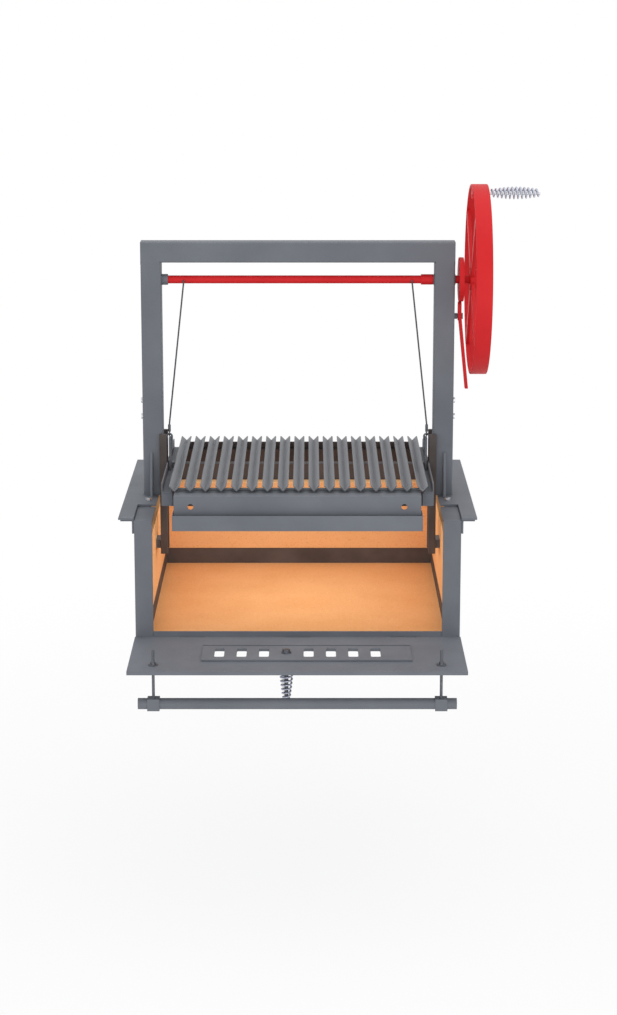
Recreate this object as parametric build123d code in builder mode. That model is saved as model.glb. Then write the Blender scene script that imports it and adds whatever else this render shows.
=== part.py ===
from build123d import *
import math
import os

os.makedirs("parts", exist_ok=True)

# Driving dimensions, in millimetres. X runs across the front, Y runs to the back and Z is up.
# The origin lies under the gallows, midway between its posts, at the height of the counter.
grate_half = 331.0
grate_half_depth = 273.0
shaft_height = 556.5

gallows_width = 2 * (grate_half + 60.0)
gallows_top = shaft_height + 95.5
tube_side = 50.8
tube_wall = 3.2
tube_corner = 4.0
plate_thickness = 5.0
angle_thickness = 5.0
plate_outer = grate_half + 106.5
plate_inner = grate_half + 23.0
box_front = -grate_half_depth - 4.0
plate_rear = grate_half_depth + 141.0
box_rear = plate_rear + 39.0
box_bottom = -314.0
sheet = 3.0
brick_thickness = 32.0
brick_face = grate_half + 30.0
brick_top = -53.0
ledge_height = 42.0
ledge_thickness = 4.0
post_foot_depth = 150.0
post_foot_width = 44.0
seat_gap = 0.5

# The grate and the carriage that lifts it
bar_count = 17
bar_pitch = 2 * (grate_half - 32.6) / (bar_count - 1)
bar_shift = 2.5
bar_leg = 19.0
bar_thickness = 3.0
bar_top = 104.0
slant = bar_leg / math.sqrt(2)
lip = bar_thickness / math.sqrt(2)
bar_low = bar_top - slant - lip
apron_half = grate_half - 34.5
apron_top = 85.0
bar_front = -grate_half_depth - 62.0
side_tube_width = 26.0
side_tube_low = 39.0
side_tube_high = 71.0
leg_width = 18.0
leg_depth = 12.0
leg_low = -140.0
leg_high = 169.0
slide_gap = 0.6

# The windlass, its wheel and its brake
shaft_radius = 10.0
bush_radius = 13.5
running_gap = 0.05
wheel_radius = 236.0
wheel_inner = grate_half + 99.0
wheel_width = 40.0
rim_thickness = 6.0
grip_reach = wheel_radius - 21.0
disc_radius = 55.0
disc_inner = grate_half + 70.0
disc_thickness = 12.0
pivot_drop = 92.0
lever_drop = 275.0

# The fold-down door, its vents and its rail
door_width = 2 * (grate_half + 69.5)
door_length = 296.0
door_sheet = 4.0
door_edge = 9.0
hinge_y = box_front - 6.0
hinge_height = -294.0
door_top = hinge_height + 5.0
vent_count = 8
vent_pitch = 53.6
vent_width = 24.0
vent_length = 70.0
vent_y = box_front - 153.0
rail_y = box_front - 247.0
rail_height = -384.0
rail_radius = 13.35
rod_x = grate_half + 10.0

# Coil grips of round wire, and the lifting cables
grip_length = 120.0
grip_turns = 12
damper_grip_length = 100.0
damper_grip_turns = 10
grip_middle = 14.0
grip_end = 8.2
wire_radius = 2.4
stud_radius = 5.0
cable_radius = 1.5
cable_top_x = grate_half - 47.0
cable_low_x = grate_half - 6.3
cable_clearance = 0.3
cable_y = -(shaft_radius + cable_radius + cable_clearance)
hook_rod = 2.5
hook_height = 166.3
eye_ring = 6.0
eye_wire = 1.6

plate_low = angle_thickness
plate_top = plate_low + plate_thickness
post_outer = gallows_width / 2
post_inner = post_outer - tube_side
half_tube = tube_side / 2
beam_low = gallows_top - tube_side
floor_low = box_bottom + sheet
floor_top = floor_low + brick_thickness
ledge_top = floor_top + ledge_height
box_outer = plate_inner + 1.0 + post_foot_width
foot_rear = box_front + post_foot_depth
sides = (("left", -1), ("right", 1))


def save(piece, label):
    """Label a finished piece and write its file."""
    piece.part.label = label
    export_step(piece.part, f"parts/{label}.step")


def block(x, y, z, mode=Mode.ADD):
    """Add a box that fills the given span on each axis."""
    spans = [sorted(span) for span in (x, y, z)]
    with Locations([tuple(sum(span) / 2 for span in spans)]):
        Box(*[high - low for low, high in spans], mode=mode)


def rod(start, end, radius, mode=Mode.ADD):
    """Add a round rod from one point to another."""
    axis = Vector(*end) - Vector(*start)
    with BuildSketch(Plane(origin=start, z_dir=axis)) as outline:
        Circle(radius)
    extrude(outline.sketch, amount=axis.length, mode=mode)


def hexagon(start, end, radius):
    """Add a six-sided bolt head or nut from one point to another."""
    axis = Vector(*end) - Vector(*start)
    with BuildSketch(Plane(origin=start, z_dir=axis)) as outline:
        RegularPolygon(radius, 6)
    extrude(outline.sketch, amount=axis.length)


# Flange plates, notched round the front corner posts
bolt_x = grate_half + 45.0
bolt_y = -81.0
bolt_radius = 4.0
bolt_hole = bolt_radius + 0.5
head_radius = 7.5
head_height = 6.5
for side, sign in sides:
    with BuildPart() as flange_plate:
        block((sign * plate_inner, sign * plate_outer), (box_front, plate_rear), (plate_low, plate_top))
        notch_outer = box_outer + seat_gap
        notch_rear = foot_rear + seat_gap
        block(
            (sign * (plate_inner - 1), sign * notch_outer),
            (box_front - 1, notch_rear),
            (plate_low - 1, plate_top + 1),
            Mode.SUBTRACT,
        )
        rod(
            (sign * bolt_x, bolt_y, plate_low - 1),
            (sign * bolt_x, bolt_y, plate_top + 1),
            bolt_hole,
            Mode.SUBTRACT,
        )
    save(flange_plate, f"{side}_flange_plate")

# Angle irons under the plates, whose flat legs rest on the counter
angle_leg = 33.0
angle_drop = -31.0
angle_setback = 6.0
angle_inner = box_outer + seat_gap
with BuildPart() as flange_angles:
    for side, sign in sides:
        block(
            (sign * angle_inner, sign * (angle_inner + angle_leg)),
            (box_front + angle_setback, plate_rear),
            (0, angle_thickness),
        )
        block(
            (sign * angle_inner, sign * (angle_inner + angle_thickness)),
            (box_front + angle_setback, plate_rear),
            (angle_drop, angle_thickness),
        )
save(flange_angles, "flange_angles")

# Front corner posts, folded from sheet with a cap
cap_top = 3.0
fold = 5.0
for side, sign in sides:
    post_face = (sign * (box_outer - post_foot_width), sign * box_outer)
    with BuildPart() as corner_post:
        block(post_face, (box_front, box_front + fold), (box_bottom, cap_top))
        block((sign * (box_outer - fold), sign * box_outer), (box_front, foot_rear), (box_bottom, cap_top))
        block(post_face, (box_front, foot_rear), (cap_top - fold, cap_top))
    save(corner_post, f"{side}_corner_post")

# Steel walls and floor of the firebox
wall_flange = brick_face + 5.0
box_side = box_outer - fold
for side, sign in sides:
    with BuildPart() as side_wall:
        block(
            (sign * box_side, sign * (box_side + sheet)),
            (foot_rear + seat_gap, box_rear - sheet),
            (floor_low, plate_low),
        )
        block(
            (sign * wall_flange, sign * (box_side + sheet)),
            (foot_rear + seat_gap, plate_rear),
            (plate_low - sheet, plate_low),
        )
        rod(
            (sign * bolt_x, bolt_y, plate_low - sheet - 1),
            (sign * bolt_x, bolt_y, plate_low + 1),
            bolt_hole,
            Mode.SUBTRACT,
        )
    save(side_wall, f"{side}_side_wall")

with BuildPart() as rear_wall:
    block((-box_outer, box_outer), (box_rear - sheet, box_rear), (box_bottom, plate_low))
save(rear_wall, "rear_wall")

with BuildPart() as bottom_pan:
    block((-box_side, box_side), (box_front + fold, box_rear - sheet), (box_bottom, floor_low))
save(bottom_pan, "bottom_pan")

sill_top = -277.0
sill_half = box_outer - post_foot_width - seat_gap
with BuildPart() as front_sill:
    block((-sill_half, sill_half), (box_front, box_front + fold), (box_bottom, sill_top))
save(front_sill, "front_sill")

# Fire bricks on the floor, the ledges that carry the wall bricks, and the wall bricks
brick_side = box_side - seat_gap
brick_front = box_front + fold + seat_gap
brick_rear = box_rear - sheet - seat_gap
rear_face = plate_rear - 1.0
guide_low = -128.0
guide_high = -106.0
guide_inner = grate_half + 14.0
with BuildPart() as floor_bricks:
    block((-brick_side, brick_side), (brick_front, brick_rear), (floor_low, floor_top))
save(floor_bricks, "floor_bricks")

ledge_rear = rear_face - seat_gap
with BuildPart() as brick_ledges:
    for side, sign in sides:
        block(
            (sign * brick_face, sign * (brick_face + ledge_thickness)),
            (brick_front, ledge_rear),
            (floor_top, ledge_top),
        )
        block(
            (sign * brick_face, sign * brick_side),
            (brick_front, ledge_rear),
            (ledge_top - ledge_thickness, ledge_top),
        )
    block((-brick_side, brick_side), (rear_face, rear_face + ledge_thickness), (floor_top, ledge_top))
    block((-brick_side, brick_side), (rear_face, brick_rear), (ledge_top - ledge_thickness, ledge_top))
save(brick_ledges, "brick_ledges")

for side, sign in sides:
    with BuildPart() as wall_bricks:
        block((sign * brick_face, sign * brick_side), (brick_front, ledge_rear), (ledge_top, brick_top))
        block(
            (sign * (brick_face - 1), sign * box_side),
            (-half_tube - seat_gap, half_tube + seat_gap),
            (guide_low - seat_gap, guide_high + seat_gap),
            Mode.SUBTRACT,
        )
    save(wall_bricks, f"{side}_bricks")

with BuildPart() as guide_bars:
    for side, sign in sides:
        block((sign * guide_inner, sign * box_side), (-half_tube, half_tube), (guide_low, guide_high))
save(guide_bars, "guide_bars")

with BuildPart() as rear_bricks:
    block((-brick_side, brick_side), (rear_face, brick_rear), (ledge_top, brick_top))
save(rear_bricks, "rear_bricks")

# Bolts that hold the flange plates to the walls
nut_low = plate_low - sheet - head_height
with BuildPart() as flange_bolts:
    for side, sign in sides:
        spot = (sign * bolt_x, bolt_y)
        hexagon((*spot, plate_top), (*spot, plate_top + head_height), head_radius)
        rod((*spot, nut_low - 2), (*spot, plate_top), bolt_radius)
        hexagon((*spot, nut_low), (*spot, plate_low - sheet), head_radius)
save(flange_bolts, "flange_bolts")

# Gallows: two posts on sockets, tied by a beam
socket_gap = 0.4
socket_half = half_tube - tube_wall - socket_gap
socket_top = 270.0
post_bolt_heights = (210.0, 251.0)
post_bolt_radius = 4.0
post_bolt_gap = 0.2
post_bolt_depth = 12.0
post_head_radius = 7.0
post_head_height = 5.0
post_centre = post_outer - half_tube
for side, sign in sides:
    with BuildPart() as post:
        with BuildSketch(Plane.XY.offset(plate_top)):
            with Locations([(sign * post_centre, 0)]):
                RectangleRounded(tube_side, tube_side, tube_corner)
                Rectangle(tube_side - 2 * tube_wall, tube_side - 2 * tube_wall, mode=Mode.SUBTRACT)
        extrude(amount=beam_low - plate_top)
        bore_end = post_outer + 1 if sign > 0 else post_outer - 2 * tube_wall
        rod(
            (sign * (post_inner - 1), 0, shaft_height),
            (sign * bore_end, 0, shaft_height),
            bush_radius,
            Mode.SUBTRACT,
        )
        for bolt_height in post_bolt_heights:
            rod(
                (sign * (post_outer + 1), 0, bolt_height),
                (sign * post_centre, 0, bolt_height),
                post_bolt_radius + post_bolt_gap,
                Mode.SUBTRACT,
            )
    save(post, f"{side}_post")

with BuildPart() as post_sockets:
    with BuildSketch(Plane.XY.offset(plate_top)):
        with Locations([(-post_centre, 0), (post_centre, 0)]):
            Rectangle(2 * socket_half, 2 * socket_half)
            Rectangle(2 * (socket_half - sheet), 2 * (socket_half - sheet), mode=Mode.SUBTRACT)
    extrude(amount=socket_top - plate_top)
    for side, sign in sides:
        for bolt_height in post_bolt_heights:
            rod(
                (sign * (post_outer + 1), 0, bolt_height),
                (sign * post_centre, 0, bolt_height),
                post_bolt_radius + post_bolt_gap,
                Mode.SUBTRACT,
            )
save(post_sockets, "post_sockets")

with BuildPart() as beam:
    with BuildSketch(Plane.YZ.offset(-post_outer)):
        with Locations([(0, beam_low + half_tube)]):
            RectangleRounded(tube_side, tube_side, tube_corner)
    extrude(amount=gallows_width)
    hollow = half_tube - tube_wall
    block(
        (-post_outer + tube_wall, post_outer - tube_wall),
        (-hollow, hollow),
        (beam_low + tube_wall, gallows_top - tube_wall),
        Mode.SUBTRACT,
    )
    for side, sign in sides:
        block(
            (sign * (post_centre - hollow), sign * (post_centre + hollow)),
            (-hollow, hollow),
            (beam_low - 1, beam_low + half_tube),
            Mode.SUBTRACT,
        )
save(beam, "beam")

with BuildPart() as post_bolts:
    for side, sign in sides:
        for bolt_height in post_bolt_heights:
            face = (sign * post_outer, 0, bolt_height)
            hexagon(face, (sign * (post_outer + post_head_height), 0, bolt_height), post_head_radius)
            rod(face, (sign * (post_outer - post_bolt_depth), 0, bolt_height), post_bolt_radius)
save(post_bolts, "post_bolts")

# Triangular gussets in front of the posts
gusset_x = grate_half + 39.0
gusset_height = 112.0
gusset_foot = 31.0
gusset_thickness = 6.0
gusset_nose = 4.0
with BuildPart() as gussets:
    for side, sign in sides:
        with BuildSketch(Plane.YZ.offset(sign * gusset_x)):
            with BuildLine():
                Polyline(
                    (-half_tube, plate_top),
                    (-half_tube, plate_top + gusset_height),
                    (-half_tube - gusset_nose, plate_top + gusset_height),
                    (-half_tube - gusset_foot, plate_top + gusset_nose),
                    (-half_tube - gusset_foot, plate_top),
                    close=True,
                )
            make_face()
        extrude(amount=gusset_thickness / 2, both=True)
save(gussets, "gussets")

# Bushes in the posts, the left one blind
bush_ends = {"left": (grate_half - 7.0, grate_half + 53.0), "right": (grate_half + 7.0, grate_half + 62.0)}
for side, sign in sides:
    inner_end, outer_end = bush_ends[side]
    with BuildPart() as bush:
        rod((sign * inner_end, 0, shaft_height), (sign * outer_end, 0, shaft_height), bush_radius)
        rod(
            (sign * (inner_end - 1), 0, shaft_height),
            (sign * (outer_end + 1), 0, shaft_height),
            shaft_radius + running_gap,
            Mode.SUBTRACT,
        )
    save(bush, f"{side}_bush")

# Carriage: side tubes, cross tubes, legs and lifting hooks
tube_inner = grate_half - side_tube_width
carriage_wall = 2.5
cross_tube_depth = 25.0
rest_depth = 8.0
for side, sign in sides:
    with BuildPart() as side_tube:
        block(
            (sign * tube_inner, sign * grate_half),
            (-grate_half_depth, grate_half_depth),
            (side_tube_low, side_tube_high),
        )
        block(
            (sign * (tube_inner + carriage_wall), sign * (grate_half - carriage_wall)),
            (-grate_half_depth + carriage_wall, grate_half_depth + 1),
            (side_tube_low + carriage_wall, side_tube_high - carriage_wall),
            Mode.SUBTRACT,
        )
    save(side_tube, f"{side}_side_tube")

with BuildPart() as cross_tubes:
    for way in (-1, 1):
        block(
            (-tube_inner, tube_inner),
            (way * (grate_half_depth - cross_tube_depth), way * grate_half_depth),
            (side_tube_low, side_tube_high),
        )
        block(
            (-tube_inner - 1, tube_inner + 1),
            (
                way * (grate_half_depth - cross_tube_depth + carriage_wall),
                way * (grate_half_depth - carriage_wall),
            ),
            (side_tube_low + carriage_wall, side_tube_high - carriage_wall),
            Mode.SUBTRACT,
        )
    block(
        (-tube_inner + seat_gap, tube_inner - seat_gap),
        (grate_half_depth - rest_depth, grate_half_depth),
        (side_tube_high, bar_low),
    )
save(cross_tubes, "cross_tubes")

leg_front = half_tube + slide_gap
with BuildPart() as carriage_legs:
    for side, sign in sides:
        for face in (-1, 1):
            block(
                (sign * grate_half, sign * (grate_half + leg_width)),
                (face * leg_front, face * (leg_front + leg_depth)),
                (leg_low, leg_high),
            )
save(carriage_legs, "carriage_legs")

# Each hook is a lug with a bent rod over its top
side_angle_leg = 25.0
side_angle_thickness = 3.0
lug_inner = grate_half - 10.0
lug_thickness = 5.0
lug_half = 13.0
lug_top = 158.0
hook_half = 6.3
hook_arch = hook_height - hook_half
hook_foot = 128.0
hook_tip = 138.0
hook_weld = (129.0, 150.0)
eye_height = hook_height - hook_rod + eye_ring - eye_wire - seat_gap
ferrule_low = eye_height + eye_ring - eye_wire
ferrule_top = 190.0
ferrule_radius = 3.5
for side, sign in sides:
    inner_leg = sign * (cable_low_x - hook_half)
    outer_leg = sign * (cable_low_x + hook_half)
    with BuildPart() as lift_hook:
        block(
            (sign * lug_inner, sign * (lug_inner + lug_thickness)),
            (cable_y - lug_half, cable_y + lug_half),
            (side_tube_high + side_angle_thickness, lug_top),
        )
        with BuildLine() as hook_line:
            Line((inner_leg, cable_y, hook_foot), (inner_leg, cable_y, hook_arch))
            ThreePointArc(
                (inner_leg, cable_y, hook_arch),
                (sign * cable_low_x, cable_y, hook_height),
                (outer_leg, cable_y, hook_arch),
            )
            Line((outer_leg, cable_y, hook_arch), (outer_leg, cable_y, hook_tip))
        with BuildSketch(Plane(origin=(inner_leg, cable_y, hook_foot), z_dir=(0, 0, 1))):
            Circle(hook_rod)
        sweep(path=hook_line.line)
        block(
            (inner_leg, sign * lug_inner),
            (cable_y - hook_rod, cable_y + hook_rod),
            hook_weld,
        )
    save(lift_hook, f"{side}_lift_hook")

    with BuildPart() as cable:
        rod(
            (sign * cable_low_x, cable_y, ferrule_top + seat_gap),
            (sign * cable_top_x, cable_y, shaft_height),
            cable_radius,
        )
    save(cable, f"{side}_cable")

# Eyes at the cables' lower ends, each a ring round the hook's rod and a ferrule
with BuildPart() as cable_eyes:
    for side, sign in sides:
        with Locations([Location((sign * cable_low_x, cable_y, eye_height), (0, 90, 0))]):
            Torus(eye_ring, eye_wire)
        rod(
            (sign * cable_low_x, cable_y, ferrule_low),
            (sign * cable_low_x, cable_y, ferrule_top),
            ferrule_radius,
        )
save(cable_eyes, "cable_eyes")

# Grate: side angles, cross bars and V bars of small angle iron
with BuildPart() as side_angles:
    for side, sign in sides:
        block(
            (sign * (grate_half - side_angle_leg), sign * grate_half),
            (-grate_half_depth, grate_half_depth),
            (side_tube_high, side_tube_high + side_angle_thickness),
        )
        block(
            (sign * (grate_half - side_angle_thickness), sign * grate_half),
            (-grate_half_depth, grate_half_depth),
            (side_tube_high, side_tube_high + side_angle_leg),
        )
save(side_angles, "grate_side_angles")

front_strip = -grate_half_depth - 31.0
cross_bar_place = 12.0
cross_bar_depth = 8.0
cross_bar_height = 5.0
cross_bar_foot = 14.0
cross_bar_half = grate_half - side_angle_thickness - seat_gap
cross_bar_span = (cross_bar_place - cross_bar_depth / 2, cross_bar_place + cross_bar_depth / 2)
with BuildPart() as cross_bars:
    block((-cross_bar_half, cross_bar_half), cross_bar_span, (bar_low - cross_bar_height, bar_low))
    for side, sign in sides:
        block(
            (sign * (cross_bar_half - cross_bar_foot), sign * cross_bar_half),
            cross_bar_span,
            (side_tube_high + side_angle_thickness, bar_low),
        )
    block(
        (-apron_half, apron_half),
        (front_strip, front_strip + cross_bar_depth),
        (apron_top, bar_low),
    )
save(cross_bars, "grate_cross_bars")

bar_places = [bar_shift + (place - (bar_count - 1) / 2) * bar_pitch for place in range(bar_count)]
with BuildPart() as grate_bars:
    for place in bar_places:
        with BuildSketch(Plane.XZ.offset(-grate_half_depth)):
            with BuildLine():
                Polyline(
                    (place - slant, bar_low + slant),
                    (place, bar_low),
                    (place + slant, bar_low + slant),
                    (place + slant - lip, bar_top),
                    (place, bar_low + 2 * lip),
                    (place + lip - slant, bar_top),
                    close=True,
                )
            make_face()
        extrude(amount=grate_half_depth - bar_front)
save(grate_bars, "grate_bars")

# Drip apron under the front of the bars, and the trough that hangs below it
apron_front = -grate_half_depth - 99.0
apron_low = 38.0
apron_lip_low = 45.0
apron_rear = -grate_half_depth - seat_gap
apron_hole_x = apron_half - 40.5
apron_hole_height = 59.5
apron_hole_radius = 7.0
with BuildPart() as drip_apron:
    block((-apron_half, apron_half), (apron_front, apron_rear), (apron_top - sheet, apron_top))
    block((-apron_half, apron_half), (apron_front, apron_front + sheet), (apron_low, apron_top))
    block((-apron_half, apron_half), (apron_rear - sheet, apron_rear), (apron_lip_low, apron_top))
    for side, sign in sides:
        rod(
            (sign * apron_hole_x, apron_front - 1, apron_hole_height),
            (sign * apron_hole_x, apron_front + sheet + 1, apron_hole_height),
            apron_hole_radius,
            Mode.SUBTRACT,
        )
save(drip_apron, "drip_apron")

trough_half = apron_half + 3.5
trough_front = apron_front - 20.0
trough_rear = apron_front + 42.0
trough_low = 4.5
trough_high = 42.0
trough_wall = 2.5
strap_x = 200.0
strap_half = 20.0
with BuildPart() as drip_trough:
    block((-trough_half, trough_half), (trough_front, trough_rear), (trough_low, trough_high))
    block(
        (-trough_half + trough_wall, trough_half - trough_wall),
        (trough_front + trough_wall, trough_rear - trough_wall),
        (trough_low + trough_wall, trough_high + 1),
        Mode.SUBTRACT,
    )
    for side, sign in sides:
        block(
            (sign * (strap_x - strap_half), sign * (strap_x + strap_half)),
            (trough_rear - trough_wall, trough_rear),
            (trough_high - 1, apron_top - sheet),
        )
save(drip_trough, "drip_trough")

# Windlass: shaft, collar, brake disc, hub, spokes, a tab for the handle and rim
shaft_left = -grate_half - 49.0
shaft_right = grate_half + 121.0
with BuildPart() as windlass_shaft:
    rod((shaft_left, 0, shaft_height), (shaft_right, 0, shaft_height), shaft_radius)
save(windlass_shaft, "windlass_shaft")


def ring_on_shaft(inner_end, outer_end, radius):
    """Add a ring that fits tight on the shaft between two places along X."""
    rod((inner_end, 0, shaft_height), (outer_end, 0, shaft_height), radius)
    rod((inner_end - 1, 0, shaft_height), (outer_end + 1, 0, shaft_height), shaft_radius, Mode.SUBTRACT)


collar_inner = grate_half - 24.0
collar_outer = grate_half + 6.5
collar_radius = 13.0
with BuildPart() as shaft_collar:
    ring_on_shaft(collar_inner, collar_outer, collar_radius)
save(shaft_collar, "shaft_collar")

with BuildPart() as brake_disc:
    ring_on_shaft(disc_inner, disc_inner + disc_thickness, disc_radius)
save(brake_disc, "brake_disc")

hub_radius = 25.0
hub_inner = wheel_inner - 1.0
hub_outer = wheel_inner + 16.0
with BuildPart() as wheel_hub:
    ring_on_shaft(hub_inner, hub_outer, hub_radius)
save(wheel_hub, "wheel_hub")

spoke_inner = wheel_inner + 1.0
spoke_thickness = 8.0
spoke_width = 25.0
rim_inner = wheel_radius - rim_thickness
spoke_middle = (hub_radius + rim_inner) / 2
spoke_length = rim_inner - hub_radius + 2.0
spoke_count = 4
spoke_turn = 40
tab_length = 32.0
with BuildPart() as wheel_spokes:
    with BuildSketch(Plane(origin=(spoke_inner, 0, shaft_height), x_dir=(0, 0, 1), z_dir=(1, 0, 0))):
        with PolarLocations(spoke_middle, spoke_count, start_angle=spoke_turn):
            Rectangle(spoke_length, spoke_width)
        with Locations([(rim_inner + 2 - tab_length / 2, 0)]):
            Rectangle(tab_length, spoke_width)
        Circle(hub_radius, mode=Mode.SUBTRACT)
    extrude(amount=spoke_thickness)
    rod(
        (wheel_inner, 0, shaft_height + grip_reach),
        (wheel_inner + wheel_width, 0, shaft_height + grip_reach),
        stud_radius,
        Mode.SUBTRACT,
    )
    with BuildSketch(Plane(origin=(spoke_inner - 1, 0, shaft_height), z_dir=(1, 0, 0))):
        Circle(wheel_radius + 10)
        Circle(rim_inner, mode=Mode.SUBTRACT)
    extrude(amount=spoke_thickness + 2, mode=Mode.SUBTRACT)
save(wheel_spokes, "wheel_spokes")

with BuildPart() as wheel_rim:
    with BuildSketch(Plane(origin=(wheel_inner, 0, shaft_height), z_dir=(1, 0, 0))):
        Circle(wheel_radius)
        Circle(rim_inner, mode=Mode.SUBTRACT)
    extrude(amount=wheel_width)
save(wheel_rim, "wheel_rim")


# Coil grips: a round wire wound into a barrel, or into its narrowing half, each quarter turn a pair of arcs
def coil_point(along, length, turns, skipped):
    """Place and direction on the coil's centre line, along its own Z axis, for along from 0 to 1."""
    turn = 2 * math.pi * turns * along
    swell = math.pi * (skipped + (1 - skipped) * along)
    radius = grip_end + (grip_middle - grip_end) * math.sin(swell)
    growth = (grip_middle - grip_end) * math.pi * (1 - skipped) * math.cos(swell)
    spin = 2 * math.pi * turns * radius
    place = Vector(radius * math.cos(turn), radius * math.sin(turn), length * along)
    direction = Vector(
        growth * math.cos(turn) - spin * math.sin(turn),
        growth * math.sin(turn) + spin * math.cos(turn),
        length,
    )
    return place, direction.normalized()


def pair_of_arcs(start, start_way, end, end_way):
    """Add two arcs that leave and arrive in the given directions."""
    chord = end - start
    both = start_way + end_way
    square = 2 * (start_way.dot(end_way) - 1)
    linear = -2 * chord.dot(both)
    reach = (-linear - math.sqrt(linear**2 - 4 * square * chord.dot(chord))) / (2 * square)
    first = start + start_way * reach
    last = end - end_way * reach
    meet = (first + last) * 0.5
    TangentArc(start, meet, tangent=start_way)
    TangentArc(meet, end, tangent=(last - first).normalized())


def coil_gap(length, turns, skipped):
    """Least gap between one turn's wire and another's, measured on points."""
    steps = 24
    count = steps * turns
    spots = [coil_point(step / count, length, turns, skipped)[0] for step in range(count + 1)]
    least = min(
        (spots[here] - spots[there]).length
        for here in range(len(spots))
        for there in range(here + steps // 2, len(spots))
    )
    return least - 2 * wire_radius


def wound_coil(length, turns, skipped):
    """Sweep the wire along the coil, the given share of the barrel skipped at its start."""
    quarters = 4 * turns
    stations = [coil_point(step / quarters, length, turns, skipped) for step in range(quarters + 1)]
    coil_start, coil_start_way = stations[0]
    coil_end, coil_end_way = stations[-1]
    wire_lead = 2 * wire_radius
    with BuildPart() as coil:
        with BuildLine() as wire:
            Line(coil_start - coil_start_way * wire_lead, coil_start)
            for (place, way), (next_place, next_way) in zip(stations, stations[1:]):
                pair_of_arcs(place, way, next_place, next_way)
            Line(coil_end, coil_end + coil_end_way * wire_lead)
        with BuildSketch(Plane(origin=coil_start - coil_start_way * wire_lead, z_dir=coil_start_way)):
            Circle(wire_radius)
        sweep(path=wire.line)
    print("coil gap", round(coil_gap(length, turns, skipped), 2))
    return coil.part


wheel_coil = wound_coil(grip_length, grip_turns, 0.0)
damper_coil = wound_coil(damper_grip_length, damper_grip_turns, 0.5)

grip_start = wheel_inner + 48.0
with BuildPart() as handle_stud:
    stud_height = shaft_height + grip_reach
    rod((spoke_inner, 0, stud_height), (grip_start + grip_length + 2, 0, stud_height), stud_radius)
    rod(
        (spoke_inner + spoke_thickness, 0, stud_height),
        (spoke_inner + spoke_thickness + head_height, 0, stud_height),
        head_radius,
    )
save(handle_stud, "handle_stud")

grip_plane = Plane(origin=(grip_start, 0, shaft_height + grip_reach), z_dir=(1, 0, 0))
with BuildPart() as wheel_grip:
    with Locations(grip_plane.location):
        add(wheel_coil)
save(wheel_grip, "wheel_grip")

# Brake: a pin on the right post, and the lever that turns on it
pivot_height = shaft_height - pivot_drop
pin_radius = 5.0
stub_end = disc_inner - 2.0
lever_inner = stub_end + 1.0
lever_outer = lever_inner + 9.0
stub_radius = 7.2
pin_head_radius = 8.0
pin_head_low = lever_outer + 1.0
pin_head_top = lever_outer + 3.5
with BuildPart() as brake_pin:
    rod((post_outer, 0, pivot_height), (stub_end, 0, pivot_height), stub_radius)
    rod((stub_end, 0, pivot_height), (pin_head_low, 0, pivot_height), pin_radius)
    rod((pin_head_low, 0, pivot_height), (pin_head_top, 0, pivot_height), pin_head_radius)
save(brake_pin, "brake_pin")

shoe_radius = 10.5
shoe_gap = 0.5
shoe_rise = pivot_drop - disc_radius - shoe_gap - shoe_radius
lever_half = 10.0
lever_thickness = 8.0
lever_kick = 19.0
lever_eye_radius = 11.0
lever_start = lever_inner + 1.0
with BuildPart() as brake_lever:
    with BuildSketch(Plane(origin=(lever_inner, 0, pivot_height), x_dir=(0, 1, 0), z_dir=(1, 0, 0))):
        Circle(lever_eye_radius)
        with Locations([(0, shoe_rise)]):
            Circle(shoe_radius)
        with Locations([(0, shoe_rise / 2)]):
            Rectangle(2 * lever_half, shoe_rise)
    extrude(amount=lever_outer - lever_inner)
    lever_low = shaft_height - lever_drop
    with BuildSketch(Plane.XZ):
        with BuildLine():
            Polyline(
                (lever_start, pivot_height),
                (lever_start + lever_thickness, pivot_height),
                (lever_start + lever_thickness + lever_kick, lever_low),
                (lever_start + lever_kick, lever_low),
                close=True,
            )
        make_face()
    extrude(amount=lever_half, both=True)
    rod(
        (lever_inner - 5, 0, pivot_height),
        (lever_outer + 5, 0, pivot_height),
        pin_radius + running_gap,
        Mode.SUBTRACT,
    )
save(brake_lever, "brake_lever")

# Door, folded down in front of the box, with vent slots, a slot for the damper's bolt and hinge notches
hinge_places = (-grate_half + 71.0, 0.0, grate_half - 71.0)
outer_barrel = (15.0, 30.0)
notch_half = outer_barrel[1] + 1.0
notch_front = hinge_y - 7.0
door_rear = hinge_y + 2.0
door_front = door_rear - door_length
door_half = door_width / 2
vent_corner = 5.0
vents = [(place - (vent_count - 1) / 2) * vent_pitch for place in range(vent_count)]
damper_bolt_x = vents[vent_count // 2 - 1]
damper_travel = vent_pitch / 2
rod_radius = 3.5
with BuildPart() as door_panel:
    block((-door_half, door_half), (door_front, door_rear), (door_top - door_sheet, door_top))
    block((-door_half, door_half), (door_front, door_front + door_sheet), (door_top - door_edge, door_top))
    for side, sign in sides:
        block(
            (sign * (door_half - door_sheet), sign * door_half),
            (door_front, door_rear),
            (door_top - door_edge, door_top),
        )
    with BuildSketch(Plane.XY.offset(door_top + 1)):
        with Locations([(vent, vent_y) for vent in vents if vent != damper_bolt_x]):
            RectangleRounded(vent_width, vent_length, vent_corner)
        with Locations([(damper_bolt_x - damper_travel / 2, vent_y)]):
            SlotCenterToCenter(damper_travel + 2, 2 * stud_radius + 1)
        with Locations([(-rod_x, rail_y), (rod_x, rail_y)]):
            Circle(rod_radius)
    extrude(amount=-door_edge, mode=Mode.SUBTRACT)
    for place in hinge_places:
        block(
            (place - notch_half, place + notch_half),
            (notch_front, door_rear + 1),
            (door_top - door_edge, door_top + 1),
            Mode.SUBTRACT,
        )
save(door_panel, "door_panel")

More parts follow.
